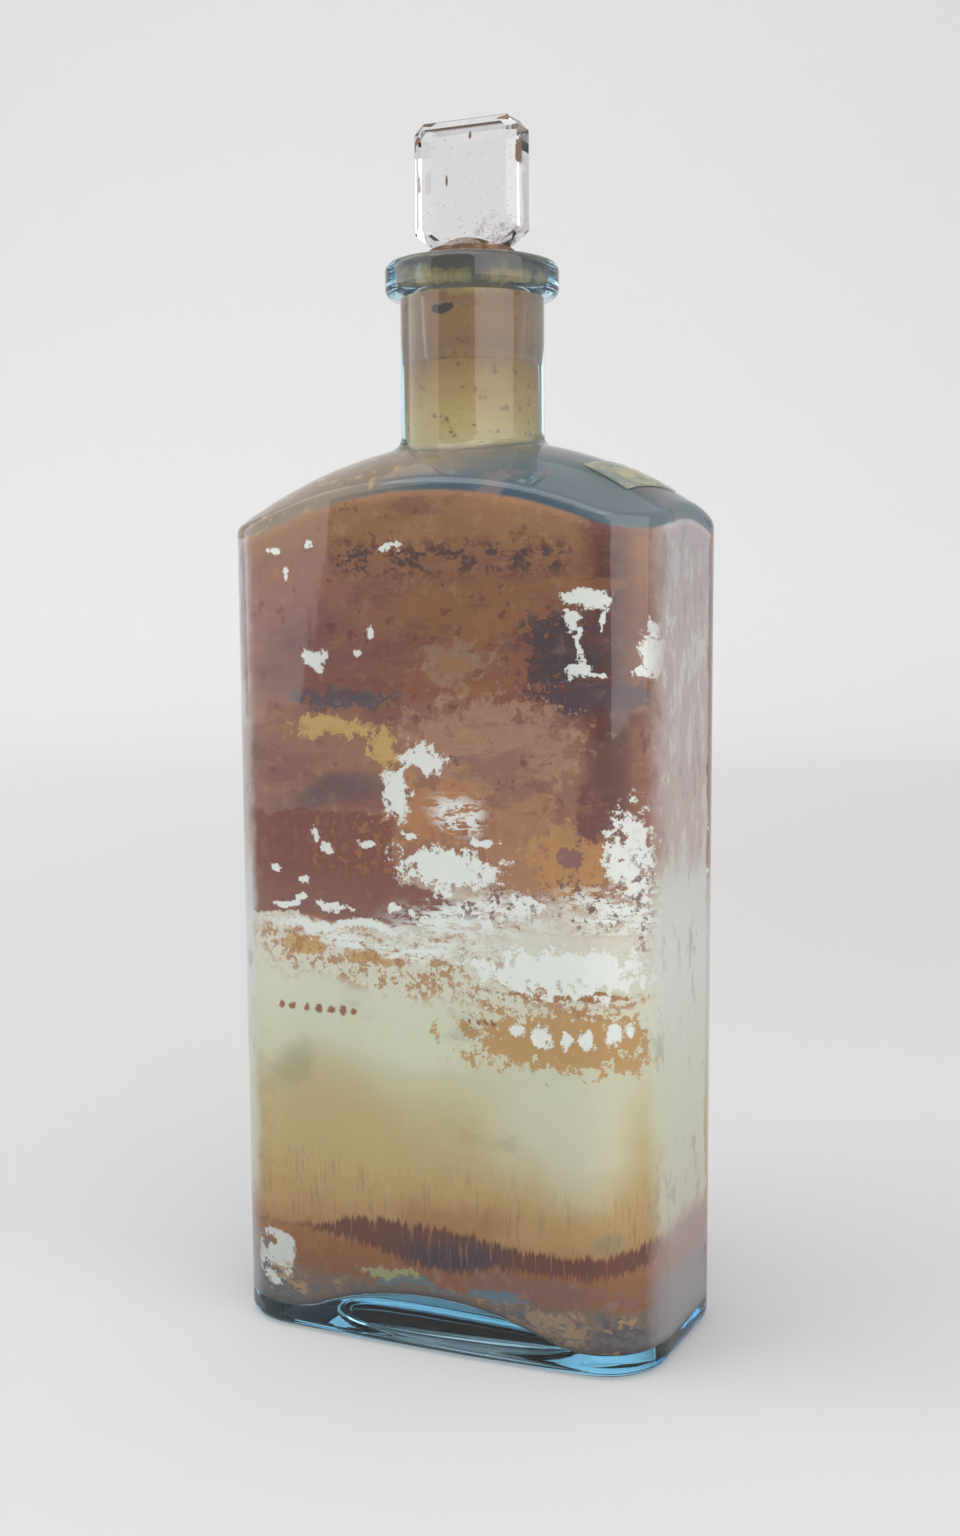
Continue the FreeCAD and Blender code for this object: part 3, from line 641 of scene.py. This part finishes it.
def bright_flakes(paint, on):
    """Where the film is bright: listed flakes, grit and streaks, and chance flakes on the back."""
    flakes = [paint.blob(on.torn, centre, radii, 0.04, on.fray) for centre, radii in FLAKES]
    flakes += [paint.blob(on.crumbled, (u, z), (r, r), 0.1, on.fray) for u, z, r in RIM_FLAKES]
    notch = paint.blob(on.crumbled, (-2.2, 110.4), (2.2, 2.4), 0.1)
    front = paint.less(paint.most(flakes), notch)
    gritty = zones(paint, on, GRIT_ZONES)
    grit = paint.step(0.5, 0.53, paint.noise(1.8, detail=6, roughness=0.75, stretch=(1.4, 1.4, 0.8)))
    streaky = paint.step(0.5, 0.54, paint.noise(3.2, detail=6, roughness=0.7, stretch=(2.2, 2.2, 0.4)))
    chance = paint.step(0.57, 0.6, paint.noise(13, detail=9, roughness=0.7, stretch=(1.6, 1.6, 0.9)))
    back = paint.both(on.behind, paint.both(chance, paint.band(66, 150, 14, paint.z)))
    return paint.most([front, back, paint.both(grit, gritty), paint.both(streaky, gritty)])


def lay_low_part(paint, on, colour):
    """Dark grit on the silver, the torn white scrap low on the left, and grey and tan by the floor."""
    dark_grit = paint.step(0.53, 0.56, paint.noise(1.7, detail=7, roughness=0.76))
    dark_grit = paint.both(dark_grit, zones(paint, on, DARK_GRIT_ZONES))
    colour = paint.tint(colour, (120, 76, 66), dark_grit, 0.9)
    tear = paint.blob(on.torn, (-36.5, 13.5), (6.2, 5.4), 0.05)
    wedge = paint.step(0.44, 0.47, paint.noise(5, detail=5, roughness=0.65))
    colour = paint.tint(colour, (206, 206, 202), paint.both(tear, wedge))
    mottle = paint.noise(4.5, detail=8, roughness=0.72, stretch=(1.3, 1.3, 0.8))
    low_down = paint.step(12.5, 10.5, on.torn_z)
    colour = paint.tint(colour, (98, 94, 98), paint.both(paint.step(0.52, 0.57, mottle), low_down))
    return paint.tint(colour, (160, 128, 96), paint.both(paint.step(0.43, 0.39, mottle), low_down))


def lay_sides(paint, on, colour):
    """The narrow sides, streaked up and down, and paler: partly dulled silver, partly painted light."""
    # Painted light: these side tones are paler to stand in for the light that falls on the sides.
    tone = paint.ramp(on.torn_z, 0, BAND_TOP, SIDE_TONES_WITH_PAINTED_LIGHT)
    round_side = paint.math("MAXIMUM", paint.step(46, 53, on.torn_u), paint.step(-39.5, -45, on.torn_u))
    streaks = paint.noise(6, detail=8, roughness=0.74, stretch=(0.8, 0.8, 1.8))
    tone = paint.tint(tone, (150, 138, 144), paint.step(0.46, 0.36, streaks), 0.6)
    pale = paint.both(paint.step(0.52, 0.58, streaks), paint.step(84, 96, paint.z))
    tone = paint.tint(tone, (222, 220, 214), pale, 0.8)
    return paint.tint(colour, tone, paint.less(round_side, on.behind), 0.9)


def lay_shoulder(paint, on, colour):
    """The shoulder, tan to the left and slate to the right, with a dark line along its front."""
    facing = paint.node("ShaderNodeSeparateXYZ")
    paint.link(paint.node("ShaderNodeNewGeometry").outputs["Normal"], facing.inputs[0])
    level = paint.math("ABSOLUTE", facing.outputs[2])
    shoulder = paint.both(paint.step(0.45, 0.7, level), paint.step(120, 130, paint.z))
    drift = paint.math("SUBTRACT", on.coarse, 0.5)
    slate = paint.step(-16, 14, paint.math("MULTIPLY_ADD", drift, 60, paint.x))
    tone = paint.tint((140, 118, 98), (90, 100, 106), slate)
    tan = paint.both(paint.step(0.52, 0.62, on.fine), paint.step(10, -16, paint.x))
    tone = paint.tint(tone, (196, 160, 116), tan)
    at_front = paint.step(FILM_FRONT + 2.6, FILM_FRONT + 1.2, paint.y)
    tone = paint.tint(tone, (56, 76, 92), paint.both(at_front, paint.step(-34, 10, paint.x)), 0.85)
    mauve = paint.step(0.54, 0.62, paint.noise(10, detail=6, roughness=0.65))
    return paint.tint(colour, paint.tint(tone, (134, 112, 112), mauve, 0.6), shoulder)


def silver_film():
    """The dried film inside the glass: bands, clouds, torn patches and bright flakes."""
    paint = Paint("silver_film")
    on = FilmMap(paint)
    colour = paint.ramp(on.torn_z, 0, BAND_TOP, BAND_TONES)
    front_layers = (lay_clouds, lay_corner_reflection, lay_block, lay_patches)
    for lay in (*front_layers, lay_mottling, lay_spots, lay_tide, lay_specks):
        colour = lay(paint, on, colour)
    flake = bright_flakes(paint, on)
    colour = paint.tint(colour, FLAKE_TONE, flake)
    for lay in (lay_low_part, lay_sides, lay_shoulder):
        colour = lay(paint, on, colour)
    in_neck = paint.step(WALL_FILM_HIGH.z - 1, WALL_FILM_HIGH.z + 2, paint.z)
    colour = paint.tint(colour, neck_tone(paint), in_neck)
    relief = paint.math("ADD", on.fine, paint.math("MULTIPLY", flake, 0.6))
    surface = paint.principled(
        Base_Color=paint.vector("MULTIPLY", colour, THROUGH_GLASS),
        Roughness=0.62,
        Specular_IOR_Level=0.3,
        Normal=paint.bump(relief, 0.5, 0.12),
    )
    return paint.finish(surface)


# The skin: how deep it is set into the glass, how thick it is, and where it lies, in millimetres.
BITE = 0.04
THICKNESS = 0.3
CEILING_OVER = 150
FLOOR_UNDER = 50
BARE_FLOOR = 29
HOLLOW_TOP = 5
HOLLOW_HALF_WIDTH, HOLLOW_HALF_DEPTH = 37.5, 17.5
LEVEL_ENOUGH = 0.7


def lines_cavity(face):
    """Whether a face of the bottle carries film: the cavity's, but not the middle of its floor."""
    middle, normal = face.calc_center_median() / MM, face.normal
    if not 0 <= middle.z <= FILM_TOP:
        return False
    if normal.z > LEVEL_ENOUGH:
        return middle.z < FLOOR_UNDER and abs(middle.x) > BARE_FLOOR
    if normal.z < -LEVEL_ENOUGH:
        return middle.z > CEILING_OVER
    beside_hollow = abs(middle.y) > HOLLOW_HALF_DEPTH or abs(middle.x) > HOLLOW_HALF_WIDTH
    if middle.z < HOLLOW_TOP and not beside_hollow:
        return False
    return normal.x * middle.x + normal.y * middle.y < 0


def film_skin(name, material):
    """A thin closed skin in contact with the glass, over the cavity's own faces."""
    source = bmesh.new()
    source.from_mesh(NODES["bottle"].data)
    bmesh.ops.remove_doubles(source, verts=source.verts, dist=1e-6)
    source.normal_update()
    bmesh.ops.delete(source, geom=[f for f in source.faces if not lines_cavity(f)], context="FACES")
    source.normal_update()
    bite = BITE * MM
    for vertex in source.verts:
        vertex.co -= vertex.normal * bite
    mesh = bpy.data.meshes.new(name)
    source.to_mesh(mesh)
    source.free()
    mesh.shade_smooth()
    skin = bpy.data.objects.new(name, mesh)
    bpy.context.scene.collection.objects.link(skin)
    solid = skin.modifiers.new("thickness", "SOLIDIFY")
    solid.thickness = THICKNESS * MM
    solid.offset = 1.0
    mesh.materials.append(material)
    return skin


# ---------------------------------------------------------------- crust and label


def crust_material():
    """Dark brown, lumpy residue round the collar."""
    paint = Paint("collar_residue")
    lumps = paint.step(0.4, 0.65, paint.noise(1.6, detail=6))
    surface = paint.principled(
        Base_Color=paint.tint((70, 50, 36), (118, 88, 62), lumps),
        Roughness=0.8,
        Normal=paint.bump(paint.noise(0.8, detail=6), 0.6, 0.2),
    )
    return paint.finish(surface)


def label_material():
    """A thin grey-green scrap, stained and partly see-through."""
    paint = Paint("weathered_label")
    stain = paint.step(0.4, 0.7, paint.noise(4, detail=6))
    surface = paint.principled(
        Base_Color=paint.tint((140, 146, 138), (166, 160, 130), stain),
        Roughness=0.7,
        Alpha=paint.math("MULTIPLY_ADD", stain, 0.25, 0.4),
        Normal=paint.bump(paint.noise(0.6, detail=5), 0.4, 0.05),
    )
    return paint.finish(surface)


def cover(node, material):
    """Gives a CAD node its material."""
    mesh = NODES[node].data
    mesh.materials.clear()
    mesh.materials.append(material)


# ---------------------------------------------------------------- stage


WORLD_STRENGTH = 0.92
# The room is darker on the side that the front of the bottle mirrors.
DARK_SIDE = (-0.4, -0.91, 0.1)
DARK_LEVEL = 0.25
SEEN_ROOM = (0.8, 0.8, 0.8, 1)
# How far a direction agrees with DARK_SIDE where the room starts to darken, and where it is darkest.
DARK_FROM, DARK_FULL = 0.35, 0.8
# Soft boxes, in metres and watts: name, place, (width, height), power.
LAMPS = [
    ("top_box", (-0.1, -0.7, 1.5), (1.6, 1.2), 13),
    ("left_box", (-1.4, -0.7, 0.8), (2.2, 2.4), 22),
    ("right_box", (1.4, -0.8, 0.8), (2.2, 2.4), 26),
]
FLOOR_COLOUR = (0.5, 0.495, 0.495)
BACKDROP_COLOUR = (0.77, 0.77, 0.77)


def sweep():
    """A seamless pale floor that curves up into a backdrop."""
    front, back, radius, height, half_width = -1.6, 1.3, 0.9, 2.6, 3.0
    # A hair under the bottle, so that the two faces don't lie in one plane.
    under = -0.05 * MM
    profile = [(front, under), (back, under)]
    turns = 24
    for i in range(1, turns + 1):
        angle = math.radians(90) * i / turns
        profile.append((back + radius * math.sin(angle), under + radius * (1 - math.cos(angle))))
    profile.append((back + radius, height))
    made = bmesh.new()
    rows = [[made.verts.new((x, y, z)) for x in (-half_width, half_width)] for y, z in profile]
    for a, b in zip(rows, rows[1:]):
        made.faces.new((a[0], a[1], b[1], b[0]))
    mesh = bpy.data.meshes.new("sweep")
    made.to_mesh(mesh)
    made.free()
    mesh.shade_smooth()
    floor = bpy.data.objects.new("sweep", mesh)
    bpy.context.scene.collection.objects.link(floor)
    floor.rotation_euler.z = CAMERA_HEADING
    paint = Paint("sweep_paper")
    tone = paint.mix(FLOOR_COLOUR, BACKDROP_COLOUR, paint.step(100, 1900, paint.y))
    mesh.materials.append(paint.finish(paint.principled(Base_Color=tone, Roughness=0.9)))


def soft_lamp(name, place, aim, size, power):
    """A large soft box, aimed at a point."""
    lamp = bpy.data.lights.new(name, "AREA")
    lamp.shape = "RECTANGLE"
    lamp.size, lamp.size_y = size
    lamp.energy = power
    made = bpy.data.objects.new(name, lamp)
    made.location = place
    made.rotation_euler = (Vector(aim) - Vector(place)).to_track_quat("-Z", "Y").to_euler()
    bpy.context.scene.collection.objects.link(made)


def light():
    """A pale room, darker toward DARK_SIDE, and three soft boxes."""
    world = bpy.data.worlds.new("studio")
    world.use_nodes = True
    nodes, links = world.node_tree.nodes, world.node_tree.links
    toward = nodes.new("ShaderNodeVectorMath")
    toward.operation = "DOT_PRODUCT"
    toward.inputs[1].default_value = DARK_SIDE
    links.new(nodes.new("ShaderNodeTexCoord").outputs["Generated"], toward.inputs[0])
    spread = nodes.new("ShaderNodeMapRange")
    spread.interpolation_type = "SMOOTHSTEP"
    ends = {"From Min": DARK_FROM, "From Max": DARK_FULL, "To Min": 1.0, "To Max": DARK_LEVEL}
    for name, value in ends.items():
        spread.inputs[name].default_value = value
    links.new(toward.outputs["Value"], spread.inputs["Value"])
    seen = nodes.new("ShaderNodeMix")
    seen.data_type = "RGBA"
    links.new(nodes.new("ShaderNodeLightPath").outputs["Is Camera Ray"], seen.inputs["Factor"])
    links.new(spread.outputs[0], seen.inputs[6])
    seen.inputs[7].default_value = SEEN_ROOM
    nodes["Background"].inputs["Strength"].default_value = WORLD_STRENGTH
    links.new(seen.outputs[2], nodes["Background"].inputs["Color"])
    bpy.context.scene.world = world
    middle = (0, 0, BOTTLE_HIGH.z * MM / 2)
    for name, place, size, power in LAMPS:
        soft_lamp(name, place, middle, size, power)


# ---------------------------------------------------------------- camera

CAMERA_PLACE = Vector((0.1503, -0.3281, 0.1397))
CAMERA_HEADING = math.radians(24.46)
CAMERA_PITCH = math.radians(4.64)
CAMERA_ROLL = -0.006
CAMERA_LENS = 42.77


def camera():
    """The view that the photograph has."""
    data = bpy.data.cameras.new("camera")
    data.lens = CAMERA_LENS
    data.sensor_width = 36
    data.clip_start = 0.01
    made = bpy.data.objects.new("camera", data)
    turn = Matrix.Rotation(CAMERA_HEADING, 4, "Z")
    tilt = Matrix.Rotation(math.radians(90) - CAMERA_PITCH, 4, "X")
    roll = Matrix.Rotation(CAMERA_ROLL, 4, "Z")
    made.matrix_world = Matrix.Translation(CAMERA_PLACE) @ turn @ tilt @ roll
    bpy.context.scene.collection.objects.link(made)
    bpy.context.scene.camera = made


# ---------------------------------------------------------------- make it

camera()
light()
sweep()
bpy.context.scene.view_settings.view_transform = "Standard"

cover("bottle", glass("bottle_glass", BOTTLE_TINT, BOTTLE_DEPTH, joint_stain))
cover("stopper", glass("stopper_glass", STOPPER_TINT, STOPPER_DEPTH, shank_stain))
cover("stopper_crust", crust_material())
cover("label_scrap", label_material())
film = film_skin("silver_film", silver_film())
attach(film, "bottle")
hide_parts("wall_film", "base_film", "neck_film")
